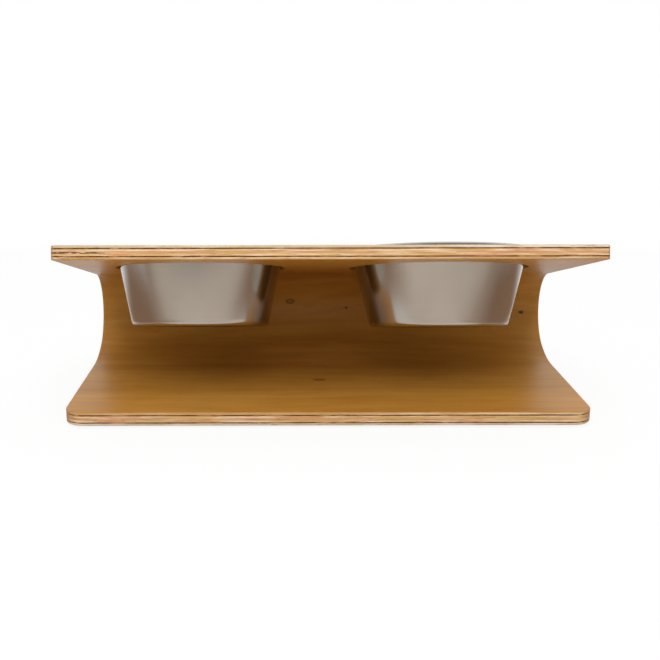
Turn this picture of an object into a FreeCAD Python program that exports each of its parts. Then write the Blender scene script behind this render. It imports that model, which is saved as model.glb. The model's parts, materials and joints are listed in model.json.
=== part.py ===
import FreeCAD, Part
import math
import os

Vector = FreeCAD.Vector

# Elevated pet feeder: a bent plywood stand whose tilted deck carries two lift-out steel bowls.
# Lengths are millimetres and angles degrees. X runs along the width, -Y is the open side, Z is up.
# The origin is on the floor, under the middle of the stand's box.

# Plywood: the sheets of the lay-up and the glue line between two of them
face_ply = 2.1
cross_ply = 0.95
core_ply = 1.75
glue_line = 0.05

# Stand: one board, bent once, with the deck tilted away from the floor towards its open side.
# The bend runs out into the base through a wider arc of ease_turn degrees.
deck_tilt = 15.0
bend_radius = 39.3
ease_radius = 90.0
ease_turn = 25.0
base_length = 137.6
deck_front_margin = 25.7
deck_rear_margin = 1.6
deck_left_margin = 34.9
deck_right_margin = 42.0
hole_bridge = 58.7
deck_corner_radius = 3.5
base_corner_radius = 16.0
arris_radius = 1.0

# Bowls: pressed sheet with a tapered wall, a raised floor panel and a rolled rim.
# The right one is a little larger than the left.
bowl_sheet = 0.7
left_mouth_radius = 73.2
right_mouth_radius = 77.0
left_floor_radius = 60.0
right_floor_radius = 60.4
left_rim_height = 1.8
right_rim_height = 4.0
left_bowl_depth = 63.0
right_bowl_depth = 64.0
bowl_floor_round = 4.5
floor_panel_radius = 38.0
floor_panel_rise = 1.2
floor_panel_run = 4.0
floor_panel_round = 2.5
lip_round = 2.5
rim_overlap = 6.5
bead_return = 2.2
bead_round_share = 0.45
hole_clearance = 1.0
seat_gap = 0.3

# Feet: low rubber bumpers under the base
foot_height = 2.5
foot_radius = 6.5
foot_tip_radius = 5.5
foot_round = 0.8
foot_inset = 20.0
foot_bend_inset = 10.0

# Reach of a cut past the faces that it goes through, and how near a picked edge has to lie
overrun = 5.0
pick_tolerance = 0.01

# Lay-up, from the inside of the bend outwards
lay_up = [
    ("inner_face_ply", face_ply),
    ("inner_cross_ply", cross_ply),
    ("core_ply_inner", core_ply),
    ("core_ply_middle", core_ply),
    ("core_ply_outer", core_ply),
    ("outer_cross_ply", cross_ply),
    ("outer_face_ply", face_ply),
]

# Sizes that follow from the ones above
board = sum(thickness for name, thickness in lay_up) + glue_line * (len(lay_up) - 1)
left_hole_radius = left_mouth_radius + hole_clearance
right_hole_radius = right_mouth_radius + hole_clearance
larger_hole_radius = max(left_hole_radius, right_hole_radius)
holes_span = 2 * left_hole_radius + hole_bridge + 2 * right_hole_radius
stand_half_width = (deck_left_margin + holes_span + deck_right_margin) / 2
left_hole_across = deck_left_margin + left_hole_radius - stand_half_width
right_hole_across = stand_half_width - deck_right_margin - right_hole_radius
hole_setback = deck_front_margin + larger_hole_radius
deck_length = hole_setback + larger_hole_radius + deck_rear_margin


# Direction square to the board, out of the bend, where the board has turned this far from level
def outward(turn):
    return Vector(0, math.sin(turn), math.cos(turn))


# Directions: across, back along the base, up, back along the deck, out of the deck, and out and forwards
# where the bend starts to ease
tilt = math.radians(deck_tilt)
ease = math.radians(ease_turn)
sideways = Vector(1, 0, 0)
back = Vector(0, 1, 0)
up = Vector(0, 0, 1)
deck_back = Vector(0, math.cos(tilt), -math.sin(tilt))
deck_up = outward(tilt)
ease_out = outward(math.pi - ease)
base_forward = Vector(0, -math.cos(ease), -math.sin(ease))

# The bend's two centres, with the stand's box centred on the origin and its feet on the floor.
# The deck's lower front corner leads, drawn back a little by its rounded arris.
arris_setback = arris_radius * (math.sin(tilt) + math.cos(tilt) - 1)
deck_reach = deck_length * math.cos(tilt) - bend_radius * math.sin(tilt) - arris_setback
centre_shift = ease_out * (ease_radius - bend_radius)
front_reach = max(deck_reach, base_length + centre_shift.y)
rear_reach = bend_radius + board
ease_height = foot_height + board + ease_radius
bend_centre = back * ((front_reach - rear_reach) / 2) + up * (ease_height + centre_shift.z)
ease_centre = bend_centre - centre_shift
deck_front = bend_centre + deck_up * bend_radius - deck_back * deck_length


# Straight runs through the points, with each inner corner rounded to its own radius
def rounded_course(points, radii):
    edges = []
    start = points[0]
    for before, corner, after, radius in zip(points, points[1:], points[2:], radii):
        to_before = (before - corner).normalize()
        to_after = (after - corner).normalize()
        half_angle = to_before.getAngle(to_after) / 2
        setback = radius / math.tan(half_angle)
        to_centre = (to_before + to_after).normalize()
        arc_start = corner + to_before * setback
        arc_middle = corner + to_centre * (radius / math.sin(half_angle) - radius)
        arc_end = corner + to_after * setback
        edges.append(Part.LineSegment(start, arc_start).toShape())
        edges.append(Part.Arc(arc_start, arc_middle, arc_end).toShape())
        start = arc_end
    edges.append(Part.LineSegment(start, points[-1]).toShape())
    return edges


# The same course moved sideways in the XZ plane, to the left of its travel
def shifted_points(points, distance):
    runs = []
    for start, end in zip(points, points[1:]):
        along = (end - start).normalize()
        to_left = Vector(-along.z, 0, along.x)
        runs.append((start + to_left * distance, along, end + to_left * distance))
    moved = [runs[0][0]]
    for (first, first_along, first_end), (second, second_along, second_end) in zip(runs, runs[1:]):
        travel = (second - first).cross(second_along).y / first_along.cross(second_along).y
        moved.append(first + first_along * travel)
    moved.append(runs[-1][2])
    return moved


# Radii of a course moved to the left: a corner that turns left gets tighter, one that turns right wider
def shifted_radii(points, radii, distance):
    moved = []
    for before, corner, after, radius in zip(points, points[1:], points[2:], radii):
        turns_right = (corner - before).cross(after - corner).y > 0
        moved.append(radius + distance if turns_right else radius - distance)
    return moved


# A solid turned about the Z axis from a closed outline in the XZ plane
def turned(edges):
    outline = Part.Wire(Part.__sortEdges__(edges))
    return Part.Face(outline).revolve(Vector(0, 0, 0), up, 360)


# Points of the board's section at one depth from its inside, from the deck's front round to the base's
# front, with one in the middle of each arc
def board_course(depth):
    side = sideways * -stand_half_width
    bend = side + bend_centre
    eased = side + ease_centre
    deck_end = bend + deck_up * (bend_radius + depth)
    base_end = eased - up * (ease_radius + depth)
    return [
        deck_end - deck_back * deck_length,
        deck_end,
        bend + outward((tilt + math.pi - ease) / 2) * (bend_radius + depth),
        bend + ease_out * (bend_radius + depth),
        eased + outward(math.pi - ease / 2) * (ease_radius + depth),
        base_end,
        base_end - back * base_length,
    ]


# One long side of the section: the deck, the bend's two arcs and the base
def course_edges(points):
    return [
        Part.LineSegment(points[0], points[1]).toShape(),
        Part.Arc(points[1], points[2], points[3]).toShape(),
        Part.Arc(points[3], points[4], points[5]).toShape(),
        Part.LineSegment(points[5], points[6]).toShape(),
    ]


# The C-shaped sheet between two depths, as wide as the stand
def bent_sheet(near_depth, far_depth):
    near = board_course(near_depth)
    far = board_course(far_depth)
    edges = course_edges(near)
    edges.append(Part.LineSegment(near[-1], far[-1]).toShape())
    edges += course_edges(far)
    edges.append(Part.LineSegment(far[0], near[0]).toShape())
    section = Part.Face(Part.Wire(Part.__sortEdges__(edges)))
    return section.extrude(sideways * (2 * stand_half_width))


# Edges whose middle lies at one of the given points
def edges_centred_at(shape, middles):
    picked = []
    for edge in shape.Edges:
        if any((edge.CenterOfMass - middle).Length < pick_tolerance for middle in middles):
            picked.append(edge)
    return picked


# The sheet's upright corners at the front of the deck and of the base, rounded in plan
def round_corners(sheet, near_depth, far_depth):
    near = board_course(near_depth)
    far = board_course(far_depth)
    across = sideways * (2 * stand_half_width)
    deck_corner = (near[0] + far[0]) / 2
    base_corner = (near[-1] + far[-1]) / 2
    deck_edges = edges_centred_at(sheet, [deck_corner, deck_corner + across])
    sheet = sheet.makeFillet(deck_corner_radius, deck_edges)
    base_edges = edges_centred_at(sheet, [base_corner, base_corner + across])
    return sheet.makeFillet(base_corner_radius, base_edges)


# Centre of a bowl's hole on the deck's underside
def hole_centre(across):
    return deck_front + deck_back * hole_setback + sideways * across


# The two holes that the bowls hang in
def cut_holes(sheet):
    for across, radius in ((left_hole_across, left_hole_radius), (right_hole_across, right_hole_radius)):
        start = hole_centre(across) - deck_up * overrun
        sheet = sheet.cut(Part.makeCylinder(radius, board + 2 * overrun, start, deck_up))
    return sheet


# How deep a point lies, out from the board's inside, square to the deck, the bend or the base
def depth_of(point):
    from_bend = point - bend_centre
    from_bend.x = 0
    if from_bend.dot(deck_up) > 0 and from_bend.dot(deck_back) < 0:
        return from_bend.dot(deck_up) - bend_radius
    if from_bend.dot(base_forward) < 0:
        return from_bend.Length - bend_radius
    from_ease = point - ease_centre
    from_ease.x = 0
    if from_ease.y < 0:
        return -from_ease.z - ease_radius
    return from_ease.Length - ease_radius


# All edges round a bare surface: its rim and its holes, but not the lines where one stretch meets the next
def surface_edges(sheet, depth):
    course = board_course(depth)
    to_middle = sideways * stand_half_width
    meeting_lines = [course[index] + to_middle for index in (1, 3, 5)]
    skipped = edges_centred_at(sheet, meeting_lines)
    picked = []
    for edge in sheet.Edges:
        middle = edge.valueAt((edge.FirstParameter + edge.LastParameter) / 2)
        points = [vertex.Point for vertex in edge.Vertexes] + [middle]
        on_surface = all(abs(depth_of(point) - depth) < pick_tolerance for point in points)
        if on_surface and not any(edge.isSame(other) for other in skipped):
            picked.append(edge)
    return picked


# One sheet of the lay-up between two depths
def ply(near_depth, far_depth):
    sheet = bent_sheet(near_depth, far_depth)
    sheet = round_corners(sheet, near_depth, far_depth)
    return cut_holes(sheet)


# Plywood stand: the sheets in order, with the arrises of the two bare faces eased
def make_plies():
    plies = {}
    near_depth = 0
    for name, thickness in lay_up:
        plies[name] = ply(near_depth, near_depth + thickness)
        near_depth = near_depth + thickness + glue_line
    bare_surfaces = {"inner_face_ply": 0, "outer_face_ply": board}
    for name, depth in bare_surfaces.items():
        sheet = plies[name]
        plies[name] = sheet.makeFillet(arris_radius, surface_edges(sheet, depth))
    return plies


# Bowl: the middle line of the sheet from the floor's centre out to the end of the rolled rim, with its
# origin at the centre of the hole on the deck's top
def make_bowl(mouth_radius, floor_radius, bowl_depth, rim_radius, rim_height):
    half = bowl_sheet / 2
    slope = (mouth_radius - floor_radius) / bowl_depth
    floor_height = half - bowl_depth
    panel_height = floor_height + floor_panel_rise
    flange_height = seat_gap + rim_height - half
    bead_height = seat_gap + half
    bead_middle = rim_radius - half
    wall_middle = mouth_radius - half * math.hypot(1, slope)
    points = [
        Vector(0, 0, panel_height),
        Vector(floor_panel_radius, 0, panel_height),
        Vector(floor_panel_radius + floor_panel_run, 0, floor_height),
        Vector(wall_middle + floor_height * slope, 0, floor_height),
        Vector(wall_middle + flange_height * slope, 0, flange_height),
        Vector(bead_middle, 0, flange_height),
        Vector(bead_middle, 0, bead_height),
        Vector(bead_middle - bead_return, 0, bead_height),
    ]
    bead_round = bead_round_share * (rim_height - bowl_sheet)
    radii = [floor_panel_round, floor_panel_round, bowl_floor_round, lip_round, bead_round, bead_round]
    inside = shifted_points(points, half)
    outside = shifted_points(points, -half)
    edges = rounded_course(inside, shifted_radii(points, radii, half))
    edges += rounded_course(outside, shifted_radii(points, radii, -half))
    edges.append(Part.LineSegment(inside[0], outside[0]).toShape())
    edges.append(Part.LineSegment(inside[-1], outside[-1]).toShape())
    return turned(edges)


# Both bowls, hung in the deck's holes
def make_bowls():
    left_rim_radius = left_hole_radius + rim_overlap
    right_rim_radius = right_hole_radius + rim_overlap
    left = make_bowl(left_mouth_radius, left_floor_radius, left_bowl_depth,
                     left_rim_radius, left_rim_height)
    right = make_bowl(right_mouth_radius, right_floor_radius, right_bowl_depth,
                      right_rim_radius, right_rim_height)
    for bowl, across in ((left, left_hole_across), (right, right_hole_across)):
        bowl.rotate(Vector(0, 0, 0), sideways, -deck_tilt)
        bowl.translate(hole_centre(across) + deck_up * board)
    return {"left_bowl": left, "right_bowl": right}


# One foot with its tip on the floor
def make_foot():
    tip = rounded_course(
        [Vector(0, 0, 0), Vector(foot_tip_radius, 0, 0), Vector(foot_radius, 0, foot_height)],
        [foot_round],
    )
    top = Part.LineSegment(Vector(foot_radius, 0, foot_height), Vector(0, 0, foot_height)).toShape()
    axis = Part.LineSegment(Vector(0, 0, foot_height), Vector(0, 0, 0)).toShape()
    return turned(tip + [top, axis])


# Four feet, each set in from the ends and sides of the base's flat stretch
def make_feet():
    feet = {}
    rows = (("front", foot_inset - base_length), ("rear", -foot_bend_inset))
    for row, offset in rows:
        for hand, side in (("left", -1), ("right", 1)):
            foot = make_foot()
            across = sideways * (side * (stand_half_width - foot_inset))
            foot.translate(across + back * (ease_centre.y + offset))
            feet["foot_" + row + "_" + hand] = foot
    return feet


os.makedirs("parts", exist_ok=True)
nodes = {}
nodes.update(make_plies())
nodes.update(make_bowls())
nodes.update(make_feet())
for name, shape in nodes.items():
    shape.exportStep("parts/" + name + ".step")
    print(name, "solids", len(shape.Solids), "valid", shape.isValid(), "volume", round(shape.Volume, 1))
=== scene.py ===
import json
import math

import bmesh
import bpy
from mathutils import Euler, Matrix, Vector
from mathutils.geometry import tessellate_polygon


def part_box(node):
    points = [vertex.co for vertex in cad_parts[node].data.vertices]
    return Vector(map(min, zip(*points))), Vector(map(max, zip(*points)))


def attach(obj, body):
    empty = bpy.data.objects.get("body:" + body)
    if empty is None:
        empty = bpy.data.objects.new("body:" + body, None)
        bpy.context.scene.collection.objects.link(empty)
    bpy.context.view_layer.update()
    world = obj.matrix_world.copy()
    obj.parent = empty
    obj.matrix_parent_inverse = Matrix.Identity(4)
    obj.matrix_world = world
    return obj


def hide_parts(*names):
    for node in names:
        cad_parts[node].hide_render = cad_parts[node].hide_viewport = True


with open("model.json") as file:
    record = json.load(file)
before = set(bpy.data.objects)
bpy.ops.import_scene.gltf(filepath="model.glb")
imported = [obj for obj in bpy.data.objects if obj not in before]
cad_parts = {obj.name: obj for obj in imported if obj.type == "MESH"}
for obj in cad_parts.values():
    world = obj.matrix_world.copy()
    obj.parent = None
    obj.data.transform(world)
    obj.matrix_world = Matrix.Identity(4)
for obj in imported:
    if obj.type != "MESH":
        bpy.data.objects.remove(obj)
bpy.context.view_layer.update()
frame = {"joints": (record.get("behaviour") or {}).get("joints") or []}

scene = bpy.context.scene
scene.view_settings.view_transform = "Standard"


# one socket of a node tree: arithmetic on it adds Math nodes, and node() adds any other kind
class Wire:
    def __init__(self, tree, socket=None):
        self.tree = tree
        self.socket = socket

    def node(self, kind, settings=None, sockets=None, out=0):
        made = self.tree.nodes.new(kind)
        for name, value in (settings or {}).items():
            setattr(made, name, value)
        for name, value in (sockets or {}).items():
            if isinstance(value, Wire):
                self.tree.links.new(value.socket, made.inputs[name])
            else:
                made.inputs[name].default_value = value
        return Wire(self.tree, made.outputs[out])

    def maths(self, operation, *values):
        return self.node("ShaderNodeMath", {"operation": operation}, dict(enumerate(values)))

    def __add__(self, other):
        return self.maths("ADD", self, other)

    def __radd__(self, other):
        return self.maths("ADD", other, self)

    def __sub__(self, other):
        return self.maths("SUBTRACT", self, other)

    def __rsub__(self, other):
        return self.maths("SUBTRACT", other, self)

    def __mul__(self, other):
        return self.maths("MULTIPLY", self, other)

    def __rmul__(self, other):
        return self.maths("MULTIPLY", other, self)

    def __truediv__(self, other):
        return self.maths("DIVIDE", self, other)

    def __rtruediv__(self, other):
        return self.maths("DIVIDE", other, self)

    def sine(self):
        return self.maths("SINE", self)

    def cosine(self):
        return self.maths("COSINE", self)

    def root(self):
        return self.maths("SQRT", self)

    def size(self):
        return self.maths("ABSOLUTE", self)

    def larger(self, other):
        return self.maths("MAXIMUM", self, other)

    def held(self, low, high):
        return self.maths("MINIMUM", self.larger(low), high)

    # the value eased from 0 at low to 1 at high
    def eased(self, low, high):
        sockets = {"Value": self, "From Min": low, "From Max": high}
        return self.node("ShaderNodeMapRange", {"interpolation_type": "SMOOTHSTEP"}, sockets)

    # this value as the share of the second colour; 6, 7 and 2 are the Mix node's colour sockets
    def mixed(self, first, second):
        return self.node("ShaderNodeMix", {"data_type": "RGBA"}, {0: self, 6: first, 7: second}, 2)

    def axes(self):
        return [self.node("ShaderNodeSeparateXYZ", None, {0: self}, axis) for axis in "XYZ"]

    # fractal noise of this vector, about 0.5 on average
    def noise(self, scale, detail, rough):
        scaled = self.node("ShaderNodeVectorMath", {"operation": "MULTIPLY"}, {0: self, 1: scale})
        sockets = {"Vector": scaled, "Scale": 1.0, "Detail": detail, "Roughness": rough}
        return self.node("ShaderNodeTexNoise", None, sockets)


# an opaque colour, written as screen values of 0 to 255
def linear(red, green, blue):
    shares = [value / 255 for value in (red, green, blue)]
    bent = [share / 12.92 if share < 0.04045 else ((share + 0.055) / 1.055) ** 2.4 for share in shares]
    return (*bent, 1.0)


def plug(wire, socket):
    wire.tree.links.new(wire.socket, socket)


def linked(name, data):
    made = bpy.data.objects.new(name, data)
    scene.collection.objects.link(made)
    return made


# a new material with its shader's plain sockets set, and a wire to start its nodes from
def startMaterial(name, plainSockets):
    material = bpy.data.materials.new(name)
    material.use_nodes = True
    shader = material.node_tree.nodes["Principled BSDF"]
    for socket, value in plainSockets.items():
        shader.inputs[socket].default_value = value
    return material, shader, Wire(material.node_tree)


def emboss(shader, height, strength, distance):
    sockets = {"Strength": strength, "Distance": distance, "Height": height}
    plug(height.node("ShaderNodeBump", None, sockets), shader.inputs["Normal"])


# a Geometry Nodes tree with its named inputs, a wire to start its nodes from, and the wires of the inputs
def startTree(name, inputs):
    tree = bpy.data.node_groups.new(name, "GeometryNodeTree")
    tree.interface.new_socket("Geometry", in_out="INPUT", socket_type="NodeSocketGeometry")
    for title, kind in inputs.items():
        tree.interface.new_socket(title, in_out="INPUT", socket_type="NodeSocket" + kind)
    tree.interface.new_socket("Geometry", in_out="OUTPUT", socket_type="NodeSocketGeometry")
    entry = tree.nodes.new("NodeGroupInput")
    return tree, Wire(tree), {socket.name: Wire(tree, socket) for socket in entry.outputs if socket.name}


# keeps each point's present position under a name, for the material to read
def keepPlace(start, geometry, position, name):
    settings = {"data_type": "FLOAT_VECTOR", "domain": "POINT"}
    sockets = {"Geometry": geometry, "Name": name, "Value": position}
    return start.node("GeometryNodeStoreNamedAttribute", settings, sockets)


def endTree(start, geometry, material):
    real = start.node("GeometryNodeRealizeInstances", None, {0: geometry})
    dressed = start.node("GeometryNodeSetMaterial", None, {"Geometry": real, "Material": material})
    leave = start.tree.nodes.new("NodeGroupOutput")
    plug(dressed, leave.inputs[0])


# runs a tree on an object and leaves a plain mesh in its place, with a wall if a thickness is given
def runTree(source, tree, values, name, sheet=0.0):
    modifier = source.modifiers.new(tree.name, "NODES")
    modifier.node_group = tree
    for item in tree.interface.items_tree:
        if item.in_out == "INPUT" and item.name in values:
            modifier[item.identifier] = values[item.name]
    if sheet:
        wall = source.modifiers.new("sheet", "SOLIDIFY")
        wall.thickness = sheet
        wall.offset = 0.0
        wall.use_even_offset = True
    depsgraph = bpy.context.evaluated_depsgraph_get()
    mesh = bpy.data.meshes.new_from_object(source.evaluated_get(depsgraph))
    bpy.data.objects.remove(source)
    return linked(name, mesh)


# The veneers read flat, a place on a sheet in metres: across its width, along it from the deck's front edge,
# and out from the inside. Stain colours the bare face and fades into the edge; shift sets the sheets apart.
# A knot is (across, along, radius, how hollow its ring is); a void is the place of a split in the edge, whose
# dark is painted shade.
veneers = {
    "innerFace": {
        "skinPale": linear(206, 150, 66), "skinDark": linear(178, 121, 44),
        "bareDepth": 0.0, "stain": (0.0, 0.0011),
        "woodPale": linear(240, 208, 166), "woodDark": linear(206, 160, 112), "patch": linear(204, 156, 96),
        "endGrain": linear(176, 128, 82), "shift": (0.0, 0.0, 0.0),
        "coat": 0.46, "deckCoat": 0.8, "deckFade": (0.17, 0.23),    # fuller lacquer under the deck
        "knots": ((-0.0311, 0.2308, 0.0027, 0.62), (0.0255, 0.2374, 0.001, 0.0),
                  (0.2022, 0.2423, 0.0017, 0.0), (-0.0048, 0.3676, 0.0032, 0.55)),
    },
    "outerFace": {
        "skinPale": linear(206, 150, 66), "skinDark": linear(178, 121, 44),
        "bareDepth": 0.01165, "stain": (0.0, 0.0006),
        "woodPale": linear(240, 224, 202), "woodDark": linear(214, 188, 154), "patch": linear(208, 184, 142),
        "endGrain": linear(176, 128, 82), "shift": (3.1, 1.7, 0.4), "coat": 0.55,
        "knots": ((0.124, 0.35, 0.0022, 0.6), (-0.09, 0.29, 0.0015, 0.0)),
    },
    "cross": {
        "woodPale": linear(226, 186, 138), "woodDark": linear(205, 156, 108), "patch": linear(190, 142, 94),
        "endGrain": linear(88, 48, 20), "shift": (7.7, 2.3, 1.1), "coat": 0.2, "crossGrain": True,
    },
    "core": {
        "woodPale": linear(246, 216, 178), "woodDark": linear(208, 158, 106), "patch": linear(216, 178, 108),
        "endGrain": linear(172, 126, 84), "shift": (1.9, 5.2, 2.6), "coat": 0.2, "blushFade": (0.55, 0.65),
    },
    "coreMiddle": {
        "woodPale": linear(236, 194, 146), "woodDark": linear(192, 138, 86), "patch": linear(210, 168, 98),
        "endGrain": linear(164, 118, 78), "shift": (4.4, 8.1, 0.9), "coat": 0.2, "blushFade": (0.5, 0.6),
        # a split in the edge; the dark of its gap is painted shade
        "void": (-0.2, 0.0, 0.0056),
    },
}

# noise in the wood: scale along the grain, across it and through the sheet, then detail and roughness
woodNoise = {
    "sway": ((4.0, 6.0, 6.0), 2.0, 0.5),
    "clouds": ((5.0, 16.0, 30.0), 3.0, 0.5),
    "rings": ((3.0, 60.0, 420.0), 2.0, 0.5),        # growth rings, cut long
    "flames": ((17.0, 120.0, 420.0), 2.0, 0.55),
    "fibres": ((24.0, 1100.0, 1500.0), 2.0, 0.5),
    "flecks": ((75.0, 750.0, 1500.0), 1.0, 0.5),
    "streaks": ((34.0, 34.0, 700.0), 3.0, 0.65),
    "golden": ((14.0, 14.0, 320.0), 2.0, 0.5),
    "blush": ((20.0, 20.0, 460.0), 2.0, 0.5),
    "nicks": ((80.0, 80.0, 1300.0), 2.0, 0.5),
    "pores": ((900.0, 38.0, 9.0), 3.0, 0.65),       # in the end grain of the cross sheets
    "splinters": ((150.0, 60.0, 900.0), 2.0, 0.5),
}

# a fade is where a noise or a distance turns into its mark, and a share is how much of the mark shows
wood = {
    "lacquer": {"Coat Roughness": 0.37, "Coat IOR": 1.38, "Specular IOR Level": 0.1},
    # knot brown, which also paints the shade in the split's gap
    "knotBrownAndVoidShade": linear(70, 38, 16), "fleckBrown": linear(104, 62, 28), "nickBrown": linear(122, 74, 40),
    "blushRed": linear(216, 142, 100),
    "streakFade": (0.34, 0.64), "goldenFade": (0.5, 0.62), "goldenShare": 0.8, "blushShare": 0.65,
    "nickFade": (0.63, 0.71), "nickShare": 0.5, "fleckFade": (0.69, 0.78), "fleckShare": 0.35,
    "knotStretch": 0.6, "knotFade": (0.6, 1.3), "hollowFade": (0.3, 0.9), "knotShare": 0.85,
    "voidFades": ((0.012, 0.03), (0.004, 0.012), (0.0005, 0.001)), "splinterFade": (0.38, 0.5),
    "voidShadeShare": 0.9, "swayReach": 0.03, "stainWander": 0.0006,
    "endShare": 0.9, "poreFade": (0.3, 0.56), "poreLeast": 0.3, "poreRise": 0.8,
    "cloudWeight": 0.45, "ringWeight": 0.5, "flameWeight": 0.55, "fibreWeight": 0.15,
    "figureLess": 0.33, "figureFade": (0.12, 0.88),
    "roughness": 0.47, "fibrePolish": 0.1, "fleckDulling": 0.1, "fleckBareness": 0.5, "fleckDepth": 0.8,
    "reliefStrength": 0.015, "reliefHeight": 0.0002,
}


# how strongly the knots darken a place on the sheet
def knotShade(flat, knots):
    across, along = flat.axes()[:2]
    shade = None
    for x, y, radius, hollow in knots:
        aside = (across - x) * wood["knotStretch"]
        ahead = along - y
        reach = (aside * aside + ahead * ahead).root() / radius
        inside = 1.0 - reach.eased(*wood["hollowFade"])
        mark = (1.0 - reach.eased(*wood["knotFade"])) * (1.0 - hollow * inside)
        shade = shade.larger(mark) if shade else mark
    return shade


# a broken dark line in the edge, near one place: painted shade in the gap of a split in the core
def voidPaintedShade(flat, void):
    across, along, through = [1.0 - (axis - middle).size().eased(*fade)
                              for axis, middle, fade in zip(flat.axes(), void, wood["voidFades"])]
    splinters = flat.noise(*woodNoise["splinters"]).eased(*wood["splinterFade"])
    return across * along * through * splinters


# the colour of a cut edge: streaks along the sheet, with golden and reddish stretches
def edgeColour(grain, look):
    streaks = grain.noise(*woodNoise["streaks"]).eased(*wood["streakFade"])
    colour = streaks.mixed(look["woodDark"], look["woodPale"])
    golden = grain.noise(*woodNoise["golden"]).eased(*wood["goldenFade"])
    colour = (golden * wood["goldenShare"]).mixed(colour, look["patch"])
    if "blushFade" in look:
        blush = grain.noise(*woodNoise["blush"]).eased(*look["blushFade"])
        colour = (blush * wood["blushShare"]).mixed(colour, wood["blushRed"])
    nicks = grain.noise(*woodNoise["nicks"]).eased(*wood["nickFade"])
    return (nicks * wood["nickShare"]).mixed(colour, wood["nickBrown"])


def veneerMaterial(name, look):
    material, shader, start = startMaterial(name + "Veneer", wood["lacquer"])
    flat = start.node("ShaderNodeAttribute", {"attribute_name": "flat"}, None, "Vector")
    moved = start.node("ShaderNodeVectorMath", {"operation": "ADD"}, {0: flat, 1: look["shift"]})
    along, across, depth = moved.axes()     # of the grain, which runs across the stand
    if look.get("crossGrain"):
        along, across = across, along
    swayed = across + (moved.noise(*woodNoise["sway"]) - 0.5) * wood["swayReach"]
    grain = start.node("ShaderNodeCombineXYZ", None, {0: along, 1: swayed, 2: depth})
    clouds = moved.noise(*woodNoise["clouds"])
    fibres = grain.noise(*woodNoise["fibres"])
    flecks = grain.noise(*woodNoise["flecks"]).eased(*wood["fleckFade"])
    sideways = start.node("ShaderNodeTexCoord", None, None, "Normal").axes()[0]
    endOn = sideways * sideways
    if look.get("crossGrain"):
        pores = grain.noise(*woodNoise["pores"]).eased(*wood["poreFade"])
        endOn = (1.0 - endOn * endOn) * (wood["poreLeast"] + wood["poreRise"] * pores)
    colour = (endOn * wood["endShare"]).held(0.0, 1.0).mixed(edgeColour(grain, look), look["endGrain"])
    if "stain" in look:
        below = (depth - (look["bareDepth"] + look["shift"][2])).size() + (clouds - 0.5) * wood["stainWander"]
        rings = grain.noise(*woodNoise["rings"]) * wood["ringWeight"]
        flames = grain.noise(*woodNoise["flames"]) * wood["flameWeight"]
        figure = clouds * wood["cloudWeight"] + rings + flames + fibres * wood["fibreWeight"]
        figure = (figure - wood["figureLess"]).eased(*wood["figureFade"])
        stained = figure.mixed(look["skinDark"], look["skinPale"])
        colour = (1.0 - below.eased(*look["stain"])).mixed(colour, stained)
    if "void" in look:
        # painted shade of the split's gap
        colour = (voidPaintedShade(flat, look["void"]) * wood["voidShadeShare"]).mixed(colour, wood["knotBrownAndVoidShade"])
    if "knots" in look:
        colour = (knotShade(flat, look["knots"]) * wood["knotShare"]).mixed(colour, wood["knotBrownAndVoidShade"])
    colour = (flecks * wood["fleckShare"]).mixed(colour, wood["fleckBrown"])
    coat = look["coat"]
    if "deckCoat" in look:
        coat = look["deckCoat"] + flat.axes()[1].eased(*look["deckFade"]) * (look["coat"] - look["deckCoat"])
    rough = wood["roughness"] - fibres * wood["fibrePolish"] + flecks * wood["fleckDulling"]
    plug(colour, shader.inputs["Base Color"])
    plug(rough, shader.inputs["Roughness"])
    plug(coat * (1.0 - flecks * wood["fleckBareness"]), shader.inputs["Coat Weight"])
    emboss(shader, fibres - flecks * wood["fleckDepth"], wood["reliefStrength"], wood["reliefHeight"])
    return material


# the bent board: each sheet is laid out flat, then bent round by one tree
board = {
    "facePly": 0.0021, "crossPly": 0.00095, "corePly": 0.00175, "glueLine": 0.00005,
    "bendRadius": 0.0393, "easeRadius": 0.09, "easeTurn": math.radians(25),
    "deckLength": 0.1833, "baseLength": 0.1376,
    "deckCorner": 0.0035, "baseCorner": 0.016, "arris": 0.001,
    "holeRadii": {"left_bowl": 0.0742, "right_bowl": 0.078}, "holeSetback": 0.1037,
    "bendSteps": 64, "easeSteps": 16, "cornerSteps": 10, "holeSteps": 144, "arrisSteps": 5, "guard": 0.0006,
}
layUp = (
    ("inner_face_ply", "facePly", "innerFace", "face_veneer"),
    ("inner_cross_ply", "crossPly", "cross", "cross_veneer"),
    ("core_ply_inner", "corePly", "core", "core_veneer"),
    ("core_ply_middle", "corePly", "coreMiddle", "core_veneer"),
    ("core_ply_outer", "corePly", "core", "core_veneer"),
    ("outer_cross_ply", "crossPly", "cross", "cross_veneer"),
    ("outer_face_ply", "facePly", "outerFace", "face_veneer"),
)
bareSides = {"inner_face_ply": "near", "outer_face_ply": "far"}
liftAxis = Vector(frame["joints"][0]["axis"])
tilt = math.atan2(liftAxis.y, liftAxis.z)
easeStart = math.pi - board["easeTurn"]
bendLength = board["bendRadius"] * (easeStart - tilt)
easeLength = board["easeRadius"] * board["easeTurn"]
sheetLength = board["deckLength"] + bendLength + easeLength + board["baseLength"]
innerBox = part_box("inner_face_ply")
halfWidth = innerBox[1].x
widening = board["easeRadius"] - board["bendRadius"]
easeHeight = innerBox[0].z + board["facePly"] + board["easeRadius"]
arrisSetback = board["arris"] * (math.sin(tilt) + math.cos(tilt) - 1)
deckReach = board["deckLength"] * math.cos(tilt) - board["bendRadius"] * math.sin(tilt) - arrisSetback
bendCentre = Vector((0.0, innerBox[0].y + deckReach, easeHeight + math.cos(easeStart) * widening))


def arc(centre, radius, firstTurn, steps):  # a quarter turn, counted in quarters from +X
    turns = [(firstTurn + step / steps) * math.pi / 2 for step in range(steps + 1)]
    return [(centre[0] + radius * math.cos(turn), centre[1] + radius * math.sin(turn)) for turn in turns]


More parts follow.
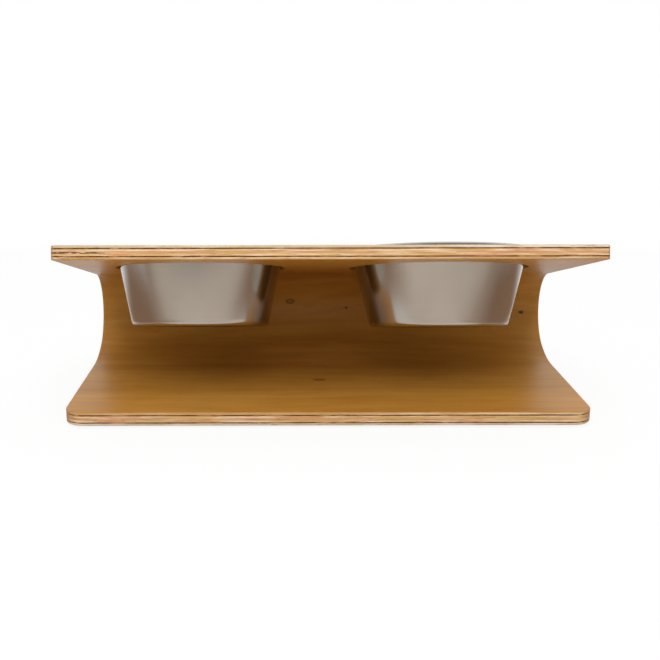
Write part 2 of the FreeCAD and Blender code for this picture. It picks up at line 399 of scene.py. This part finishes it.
# stations along the sheet where its two sides have points, with a guard line beside each end of the bend
def bendStations():
    first = board["deckLength"]
    middle = first + bendLength
    last = middle + easeLength
    stations = [first + bendLength * step / board["bendSteps"] for step in range(board["bendSteps"])]
    stations += [middle + easeLength * step / board["easeSteps"] for step in range(board["easeSteps"] + 1)]
    return [first - board["guard"]] + stations + [last + board["guard"]]


# the outline of a flat sheet, drawn in by inset, as its front end, right side, base end and left side
def outline(inset):
    deckRound = board["deckCorner"]
    baseRound = board["baseCorner"]
    steps = board["cornerSteps"]
    deckX = halfWidth - deckRound
    baseX = halfWidth - baseRound
    baseY = sheetLength - baseRound
    stations = bendStations()
    front = arc((-deckX, deckRound), deckRound - inset, 2, steps)
    front += arc((deckX, deckRound), deckRound - inset, 3, steps)
    right = [(halfWidth - inset, station) for station in stations]
    end = arc((baseX, baseY), baseRound - inset, 0, steps)
    end += arc((-baseX, baseY), baseRound - inset, 1, steps)
    left = [(inset - halfWidth, station) for station in reversed(stations)]
    return front, right, end, left


def middleAcross(node):
    low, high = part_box(node)
    return (low.x + high.x) / 2


def holeLoop(node, inset):
    steps = board["holeSteps"]
    across = middleAcross(node)
    setback = board["holeSetback"]
    radius = board["holeRadii"][node] + inset
    turns = [2 * math.pi * step / steps for step in range(steps)]
    return [(across + radius * math.cos(turn), setback + radius * math.sin(turn)) for turn in turns]


# levels of a sheet from its inner to its outer side, each with how far its outline is drawn in
def sheetLevels(near, far, bareSide):
    if not bareSide:
        return [(near, 0.0), (far, 0.0)]
    arris = board["arris"]
    steps = board["arrisSteps"]
    turns = [math.pi / 2 * step / steps for step in range(steps + 1)]
    rounded = [(arris * (1 - math.cos(turn)), arris * (1 - math.sin(turn))) for turn in turns]
    rounded.insert(0, (0.0, arris + board["guard"]))
    if bareSide == "near":
        return [(near + drop, inset) for drop, inset in rounded] + [(far, 0.0)]
    return [(near, 0.0)] + [(far - drop, inset) for drop, inset in reversed(rounded)]


def wallFaces(mesh, low, high, inward):
    for index in range(len(low)):
        after = (index + 1) % len(low)
        corners = [low[index], low[after], high[after], high[index]]
        mesh.faces.new(reversed(corners) if inward else corners)


# one broad side: the deck with its holes, the strips of the bend, and the base
def broadSide(mesh, loops, upward):
    front, right, end, left = loops["parts"]
    faces = []
    rims = [front + [right[0], left[-1]]] + loops["holes"]
    corners = [vertex for rim in rims for vertex in rim]
    for triangle in tessellate_polygon([[vertex.co for vertex in rim] for rim in rims]):
        first, second, third = [corners[index] for index in triangle]
        turn = (second.co - first.co).cross(third.co - first.co).z
        faces.append([first, second, third] if turn > 0 else [first, third, second])
    lefts = list(reversed(left))
    for index in range(len(right) - 1):
        faces.append([lefts[index], right[index], right[index + 1], lefts[index + 1]])
    faces.append([right[-1]] + end + [left[0]])
    for corners in faces:
        mesh.faces.new(corners if upward else reversed(corners))


# a sheet before it is bent, with sharp edges on its glued sides
def flatSheet(name, near, far, bareSide):
    mesh = bmesh.new()
    levels = []
    for depth, inset in sheetLevels(near, far, bareSide):
        parts = [[mesh.verts.new((x, y, depth)) for x, y in part] for part in outline(inset)]
        holes = [[mesh.verts.new((x, y, depth)) for x, y in holeLoop(node, inset)]
                 for node in board["holeRadii"]]
        levels.append({"parts": parts, "holes": holes, "rim": sum(parts, [])})
    for low, high in zip(levels, levels[1:]):
        wallFaces(mesh, low["rim"], high["rim"], False)
        for lowHole, highHole in zip(low["holes"], high["holes"]):
            wallFaces(mesh, lowHole, highHole, True)
    broadSide(mesh, levels[0], False)
    broadSide(mesh, levels[-1], True)
    glued = {"near": levels[-1:], "far": levels[:1]}.get(bareSide, [levels[0], levels[-1]])
    for level in glued:
        for loop in [level["rim"]] + level["holes"]:
            for vertex, after in zip(loop, loop[1:] + loop[:1]):
                mesh.edges.get((vertex, after)).smooth = False
    for face in mesh.faces:
        face.smooth = True
    data = bpy.data.meshes.new(name)
    mesh.to_mesh(data)
    mesh.free()
    return linked(name, data)


# bends a flat sheet: straight along the deck, round the bend and the wider arc that eases it, then
# straight along the base
def bendTree():
    inputs = {"Bend Radius": "Float", "Ease Radius": "Float", "Ease Start": "Float", "Deck Length": "Float",
              "Bend Length": "Float", "Ease Length": "Float", "Tilt": "Float", "Bend Centre": "Vector",
              "Material": "Material"}
    tree, start, given = startTree("bendSheet", inputs)
    position = start.node("GeometryNodeInputPosition")
    kept = keepPlace(start, given["Geometry"], position, "flat")
    across, along, depth = position.axes()
    past = along - given["Deck Length"]
    inBend = past.held(0.0, given["Bend Length"])
    inEase = (past - given["Bend Length"]).held(0.0, given["Ease Length"])
    straight = past - inBend - inEase
    turn = given["Tilt"] + inBend / given["Bend Radius"] + inEase / given["Ease Radius"]
    first = given["Ease Start"]
    last = turn.larger(first)
    wider = given["Ease Radius"] - given["Bend Radius"]
    out = given["Bend Radius"] + depth
    back = turn.sine() * out + turn.cosine() * straight + (last.sine() - first.sine()) * wider
    up = turn.cosine() * out - turn.sine() * straight + (last.cosine() - first.cosine()) * wider
    bent = start.node("ShaderNodeCombineXYZ", None, {0: across, 1: back, 2: up})
    placed = start.node("ShaderNodeVectorMath", {"operation": "ADD"}, {0: bent, 1: given["Bend Centre"]})
    moved = start.node("GeometryNodeSetPosition", None, {"Geometry": kept, "Position": placed})
    endTree(start, moved, given["Material"])
    return tree


materials = {name: veneerMaterial(name, look) for name, look in veneers.items()}
bend = bendTree()
bendValues = {"Bend Radius": board["bendRadius"], "Ease Radius": board["easeRadius"], "Ease Start": easeStart,
              "Deck Length": board["deckLength"], "Bend Length": bendLength, "Ease Length": easeLength,
              "Tilt": tilt, "Bend Centre": bendCentre}
near = 0.0
for node, thickness, look, slot in layUp:
    far = near + board[thickness]
    flatPiece = flatSheet(node + "_flat", near, far, bareSides.get(node))
    sheet = runTree(flatPiece, bend, {**bendValues, "Material": materials[look]}, node + "_veneer")
    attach(sheet, "stand")
    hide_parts(node)
    near = far + board["glueLine"]
boardThickness = near - board["glueLine"]
print("board bent:", len(layUp), "sheets,", round(boardThickness * 1000, 2), "mm thick")


# the bowls: sizes of the pressed sheet, then the noise and the tones of its satin finish
bowl = {
    "sheet": 0.0007, "floorRound": 0.0045,
    "panelRadius": 0.038, "panelRise": 0.0012, "panelRun": 0.004, "panelRound": 0.0025,
    "lipRound": 0.0025, "rimOverlap": 0.0065, "beadReturn": 0.0022, "beadRoundShare": 0.45,
    "seatGap": 0.0003, "guard": 0.0012, "roundSteps": 192, "cornerSteps": 8,
    "left_bowl": {"mouthRadius": 0.0732, "floorRadius": 0.06, "depth": 0.063, "rimHeight": 0.0018},
    "right_bowl": {"mouthRadius": 0.077, "floorRadius": 0.0604, "depth": 0.064, "rimHeight": 0.004},
    "steelDark": linear(186, 184, 180), "steelPale": linear(199, 197, 193), "toneFade": (0.25, 0.75),
    "lines": ((30.0, 30.0, 2200.0), 2.0, 0.6), "lineTone": 0.35, "lineRough": 0.02, "lineHeight": 0.005,
    "smears": ((22.0, 22.0, 14.0), 3.0, 0.6), "smearTone": 0.65, "smearRough": 0.06,
    "waves": ((5.0, 5.0, 6.0), 1.0, 0.5), "roughness": 0.12, "hub": 0.001,
    "reliefStrength": 1.0, "reliefHeight": 0.0001,
}


# satin steel, with fine lines round the bowl and the slight waves of a drawn wall;
# turned is the bowl's own frame, with its axis on Z
def steelMaterial():
    material, shader, start = startMaterial("satinSteel", {"Metallic": 1.0})
    turned = start.node("ShaderNodeAttribute", {"attribute_name": "turned"}, None, "Vector")
    x, y, z = turned.axes()
    reach = (x * x + y * y).root() + bowl["hub"]
    lay = start.node("ShaderNodeCombineXYZ", None, {0: x, 1: y, 2: z + reach})
    around = start.node("ShaderNodeCombineXYZ", None, {0: x / reach, 1: y / reach, 2: z})
    lines = lay.noise(*bowl["lines"])
    smears = turned.noise(*bowl["smears"])
    waves = around.noise(*bowl["waves"])
    tone = (lines * bowl["lineTone"] + smears * bowl["smearTone"]).eased(*bowl["toneFade"])
    rough = bowl["roughness"] + lines * bowl["lineRough"] + smears * bowl["smearRough"]
    plug(tone.mixed(bowl["steelDark"], bowl["steelPale"]), shader.inputs["Base Color"])
    plug(rough, shader.inputs["Roughness"])
    emboss(shader, waves + lines * bowl["lineHeight"], bowl["reliefStrength"], bowl["reliefHeight"])
    return material


# spins a section round Z, then tilts it and moves it to its place
def spinTree():
    inputs = {"Path Radius": "Float", "Round Steps": "Int", "Corner Steps": "Int", "Tilt": "Rotation",
              "Place": "Vector", "Material": "Material"}
    poleGap = 0.000001      # points closer than this are one, as at the pole
    tree, start, given = startTree("spinSection", inputs)
    rounding = start.node("GeometryNodeInputRadius")
    corners = {"Curve": given["Geometry"], "Count": given["Corner Steps"], "Radius": rounding,
               "Limit Radius": True}
    section = start.node("GeometryNodeFilletCurve", {"mode": "POLY"}, corners)
    circle = {"Resolution": given["Round Steps"], "Radius": given["Path Radius"]}
    path = start.node("GeometryNodeCurvePrimitiveCircle", {"mode": "RADIUS"}, circle)
    even = start.node("GeometryNodeSetCurveRadius", None, {"Curve": path, "Radius": 1.0})
    swept = start.node("GeometryNodeCurveToMesh", None, {"Curve": even, "Profile Curve": section})
    closed = start.node("GeometryNodeMergeByDistance", None, {"Geometry": swept, "Distance": poleGap})
    smooth = start.node("GeometryNodeSetShadeSmooth", None, {"Geometry": closed, "Shade Smooth": True})
    position = start.node("GeometryNodeInputPosition")
    kept = keepPlace(start, smooth, position, "turned")
    motion = {"Geometry": kept, "Translation": given["Place"], "Rotation": given["Tilt"]}
    placed = start.node("GeometryNodeTransform", None, motion)
    endTree(start, placed, given["Material"])
    return tree


# a section curve for spinning, through points of (radius, height, rounding); the path's radius is taken off
def sectionCurve(name, points, pathRadius):
    curve = bpy.data.curves.new(name, "CURVE")
    curve.dimensions = "3D"
    spline = curve.splines.new("POLY")
    spline.points.add(len(points) - 1)
    for point, (radius, height, rounding) in zip(spline.points, points):
        point.co = (radius - pathRadius, -height, 0.0, 1.0)
        point.radius = rounding
    return linked(name, curve)


# extra points on the straight runs, close to the rounded corners, so that the runs shade straight
def guarded(points, gap, leastShare=0.05):
    result = [points[0]]
    for before, after in zip(points, points[1:]):
        start = Vector(before[:2])
        run = Vector(after[:2]) - start
        roomy = before[2] + after[2] + 2 * gap < run.length
        for share in ((before[2] + gap) / run.length, 1 - (after[2] + gap) / run.length):
            if roomy and leastShare < share < 1 - leastShare:
                result.append((*(start + run * share), 0.0))
        result.append(after)
    return result


# the middle of the sheet, from the centre of the floor out to the rolled end of the rim
def bowlSection(name):
    own = bowl[name]
    half = bowl["sheet"] / 2
    slope = (own["mouthRadius"] - own["floorRadius"]) / own["depth"]
    wall = own["mouthRadius"] - half * math.hypot(1, slope)
    floor = half - own["depth"]
    flange = bowl["seatGap"] + own["rimHeight"] - half
    bead = bowl["seatGap"] + half
    edge = board["holeRadii"][name] + bowl["rimOverlap"] - half
    beadRound = bowl["beadRoundShare"] * (own["rimHeight"] - bowl["sheet"])
    return [
        (0.0, floor + bowl["panelRise"], 0.0),
        (bowl["panelRadius"], floor + bowl["panelRise"], bowl["panelRound"]),
        (bowl["panelRadius"] + bowl["panelRun"], floor, bowl["panelRound"]),
        (wall + floor * slope, floor, bowl["floorRound"]),
        (wall + flange * slope, flange, bowl["lipRound"]),
        (edge, flange, beadRound),
        (edge, bead, beadRound),
        (edge - bowl["beadReturn"], bead, 0.0),
    ]


deckBack = Vector((0.0, math.cos(tilt), -math.sin(tilt)))
deckTop = bendCentre + liftAxis * (board["bendRadius"] + boardThickness)
spin = spinTree()
steel = steelMaterial()
for name in board["holeRadii"]:
    pathRadius = bowl[name]["mouthRadius"]
    section = sectionCurve(name + "_section", guarded(bowlSection(name), bowl["guard"]), pathRadius)
    place = deckTop - deckBack * (board["deckLength"] - board["holeSetback"])
    place.x = middleAcross(name)
    values = {"Path Radius": pathRadius, "Round Steps": bowl["roundSteps"],
              "Corner Steps": bowl["cornerSteps"], "Tilt": (-tilt, 0.0, 0.0), "Place": place,
              "Material": steel}
    pressed = runTree(section, spin, values, name + "_pressed", bowl["sheet"])
    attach(pressed, name)
    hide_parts(name)
print("bowls spun:", bowl["roundSteps"], "steps round")


# the feet: sizes of one bumper, then the noise and the tones of its rubber
feet = {
    "radius": 0.0065, "tipRadius": 0.0055, "tipRound": 0.0008, "topRound": 0.0002,
    "roundSteps": 48, "cornerSteps": 6, "guard": 0.0003,
    "rubberDark": linear(30, 29, 28), "rubberDusty": linear(58, 56, 53),
    "dust": ((240.0, 240.0, 240.0), 3.0, 0.5), "specks": ((900.0, 900.0, 900.0), 3.0, 0.6),
    "roughness": 0.62, "speckRough": 0.25, "reliefStrength": 0.3, "reliefHeight": 0.0001, "specular": 0.35,
}
footNodes = ("foot_front_left", "foot_front_right", "foot_rear_left", "foot_rear_right")


def rubberMaterial():
    material, shader, start = startMaterial("footRubber", {"Specular IOR Level": feet["specular"]})
    place = start.node("ShaderNodeTexCoord", None, None, "Object")
    specks = place.noise(*feet["specks"])
    dust = place.noise(*feet["dust"])
    plug(dust.mixed(feet["rubberDark"], feet["rubberDusty"]), shader.inputs["Base Color"])
    plug(feet["roughness"] + specks * feet["speckRough"], shader.inputs["Roughness"])
    emboss(shader, specks, feet["reliefStrength"], feet["reliefHeight"])
    return material


# sets one spun foot on each point
def feetTree():
    tree, start, given = startTree("setFeet", {"Foot": "Object", "Material": "Material"})
    foot = start.node("GeometryNodeObjectInfo", None, {"Object": given["Foot"]}, "Geometry")
    sockets = {"Points": given["Geometry"], "Instance": foot}
    standing = start.node("GeometryNodeInstanceOnPoints", None, sockets)
    endTree(start, standing, given["Material"])
    return tree


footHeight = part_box(footNodes[0])[1].z
footSection = [
    (0.0, 0.0, 0.0),
    (feet["tipRadius"], 0.0, feet["tipRound"]),
    (feet["radius"], footHeight, feet["topRound"]),
    (0.0, footHeight, 0.0),
]
rubber = rubberMaterial()
section = sectionCurve("foot_section", guarded(footSection, feet["guard"]), feet["radius"])
values = {"Path Radius": feet["radius"], "Round Steps": feet["roundSteps"],
          "Corner Steps": feet["cornerSteps"], "Tilt": (0.0, 0.0, 0.0), "Place": (0.0, 0.0, 0.0),
          "Material": rubber}
foot = runTree(section, spin, values, "foot_pattern")
footPlaces = []
for node in footNodes:
    low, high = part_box(node)
    footPlaces.append(((low.x + high.x) / 2, (low.y + high.y) / 2, 0.0))
points = bpy.data.meshes.new("foot_points")
points.from_pydata(footPlaces, [], [])
footValues = {"Foot": foot, "Material": rubber}
bumpers = runTree(linked("foot_points", points), feetTree(), footValues, "rubber_feet")
bpy.data.objects.remove(foot)
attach(bumpers, "stand")
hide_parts(*footNodes)
print("feet set:", len(footNodes))


# studio: a pale floor and backdrop that read as white in the picture, and two soft lamps, one above the front
# and one overhead; the ground in front of the part and beside it is darker, which only reflections see, and
# close beside the part its brown is a painted reflection of the stand's shaded wood
studio = {
    "floorSize": 12.0, "paper": (0.88, 0.86, 0.83, 1.0), "bounce": (0.74, 0.69, 0.63, 1.0),
    "whiteFade": (0.4, 0.9), "whiteStretch": 0.7, "nearWhite": 0.9, "behindFade": (0.15, 0.45),
    "apron": (0.66, 0.57, 0.485, 1.0), "apronFade": (0.1, 0.3),
    "table": (0.32, 0.195, 0.125, 1.0), "tableFade": (0.24, 0.36), "tableEnd": (0.1, 0.55),
    # close beside the part, the brown ground is a painted reflection of the stand's shaded wood
    "paintedReflectionFade": (0.19, 0.28), "paintedReflectionEnd": (0.02, 0.12), "paintedReflectionShare": 0.85,
    "ambient": 0.5, "room": 0.34, "paleAim": math.radians(40), "paleFade": (0.15, 0.4),
    "lamps": (
        {"name": "frontLamp", "place": (-0.15, -1.05, 1.4), "size": 1.2, "power": 15.5},
        {"name": "topLamp", "place": (0.2, 0.5, 2.0), "size": 1.8, "power": 10.5},
    ),
    "lampAim": Vector((0.0, 0.0, 0.08)),
}
white = (1.0, 1.0, 1.0, 1.0)


# rays that show the surroundings: those of the camera, and those that metal or glass sends on
def showingRays(start):
    outs = ("Is Camera Ray", "Is Glossy Ray", "Is Transmission Ray")
    camera, glossy, through = [start.node("ShaderNodeLightPath", None, None, out) for out in outs]
    return camera, glossy.larger(through)


# the camera sees white, and near the part its soft shadow; reflections see white behind the part, a tan apron
# in front of it and a brown table beside it, whose brown close beside the part is a painted reflection of the
# stand's shaded wood; bounced light comes off pale paper
def floorMaterial():
    material, shader, start = startMaterial("paleFloor", {"Roughness": 1.0, "Specular IOR Level": 0.0})
    camera, sent = showingRays(start)
    across, along = start.node("ShaderNodeTexCoord", None, None, "Object").axes()[:2]
    aside = across * studio["whiteStretch"]
    far = (aside * aside + along * along).root().eased(*studio["whiteFade"])
    ahead = 0.0 - along
    front = ahead.eased(*studio["apronFade"])
    outward = across.size()
    # painted reflection: brown close beside the part, standing in for the stand's shaded wood that the bowls
    # mirror
    near = outward.eased(*studio["paintedReflectionFade"]) * (1.0 - along.eased(*studio["paintedReflectionEnd"])) * studio["paintedReflectionShare"]
    side = near.larger(outward.eased(*studio["tableFade"])) * (1.0 - ahead.eased(*studio["tableEnd"]))
    shown = camera * far.larger(studio["nearWhite"])
    mirrored = sent * (1.0 - front) * far.larger(along.eased(*studio["behindFade"]))
    ground = side.mixed(front.mixed(studio["paper"], studio["apron"]), studio["table"])
    plug(camera.mixed(sent.mixed(studio["bounce"], ground), white), shader.inputs["Base Color"])
    paper = Wire(start.tree, shader.outputs["BSDF"])
    glow = start.node("ShaderNodeEmission", None, {"Color": white, "Strength": 1.0})
    blend = start.node("ShaderNodeMixShader", None, {0: shown.larger(mirrored), 1: paper, 2: glow})
    plug(blend, start.tree.nodes["Material Output"].inputs["Surface"])
    return material


def buildFloor():
    half = studio["floorSize"] / 2
    corners = [(-half, -half, 0), (half, -half, 0), (half, half, 0), (-half, half, 0)]
    data = bpy.data.meshes.new("floor")
    data.from_pydata(corners, [], [(0, 1, 2, 3)])
    data.materials.append(floorMaterial())
    linked("floor", data)


# white to the camera; reflections see a dim room with one pale side, behind and above the part
def buildWorld():
    world = bpy.data.worlds.new("studio")
    world.use_nodes = True
    scene.world = world
    start = Wire(world.node_tree)
    camera, sent = showingRays(start)
    behind, above = start.node("ShaderNodeTexCoord", None, None, "Generated").axes()[1:]
    facing = behind * math.cos(studio["paleAim"]) + above * math.sin(studio["paleAim"])
    backdrop = studio["room"] + facing.eased(*studio["paleFade"]) * (1.0 - studio["room"])
    strength = studio["ambient"] + sent * (backdrop - studio["ambient"])
    sky = world.node_tree.nodes["Background"]
    sky.inputs["Color"].default_value = white
    plug(strength.larger(camera), sky.inputs["Strength"])


def buildLamps():
    for lamp in studio["lamps"]:
        light = bpy.data.lights.new(lamp["name"], "AREA")
        light.shape = "SQUARE"
        light.size = lamp["size"]
        light.energy = lamp["power"]
        made = linked(lamp["name"], light)
        made.location = lamp["place"]
        made.visible_glossy = False     # the metal shows the surroundings, not the lamps
        made.rotation_euler = (studio["lampAim"] - made.location).to_track_quat("-Z", "Y").to_euler()


buildFloor()
buildWorld()
buildLamps()
print("studio lit:", len(studio["lamps"]), "lamps")


# the camera looks along the deck's slope, a little under it and to the left of the middle
view = {
    "imageSize": 660, "focalPixels": 976.6, "middlePixel": 286.9, "sensor": 36.0, "clipStart": 0.01,
    "pitch": math.radians(14.78), "roll": math.radians(-0.1),
    "distance": 0.7652, "drop": 0.0551, "left": 0.0344,
}


def buildCamera():
    deckFront = bendCentre + liftAxis * board["bendRadius"] - deckBack * board["deckLength"]
    camera = bpy.data.cameras.new("camera")
    camera.sensor_width = view["sensor"]
    camera.lens = view["focalPixels"] / view["imageSize"] * view["sensor"]
    camera.shift_x = 0.5 - view["middlePixel"] / view["imageSize"]
    camera.clip_start = view["clipStart"]
    made = linked("camera", camera)
    ahead = Vector((0.0, math.cos(view["pitch"]), -math.sin(view["pitch"])))
    above = Vector((0.0, math.sin(view["pitch"]), math.cos(view["pitch"])))
    made.location = deckFront - ahead * view["distance"] - above * view["drop"]
    made.location.x = -view["left"]
    pitched = Euler((math.pi / 2 - view["pitch"], 0.0, 0.0)).to_matrix()
    rolled = pitched @ Euler((0.0, 0.0, view["roll"])).to_matrix()
    made.rotation_euler = rolled.to_euler()
    scene.camera = made


buildCamera()
print("camera set")
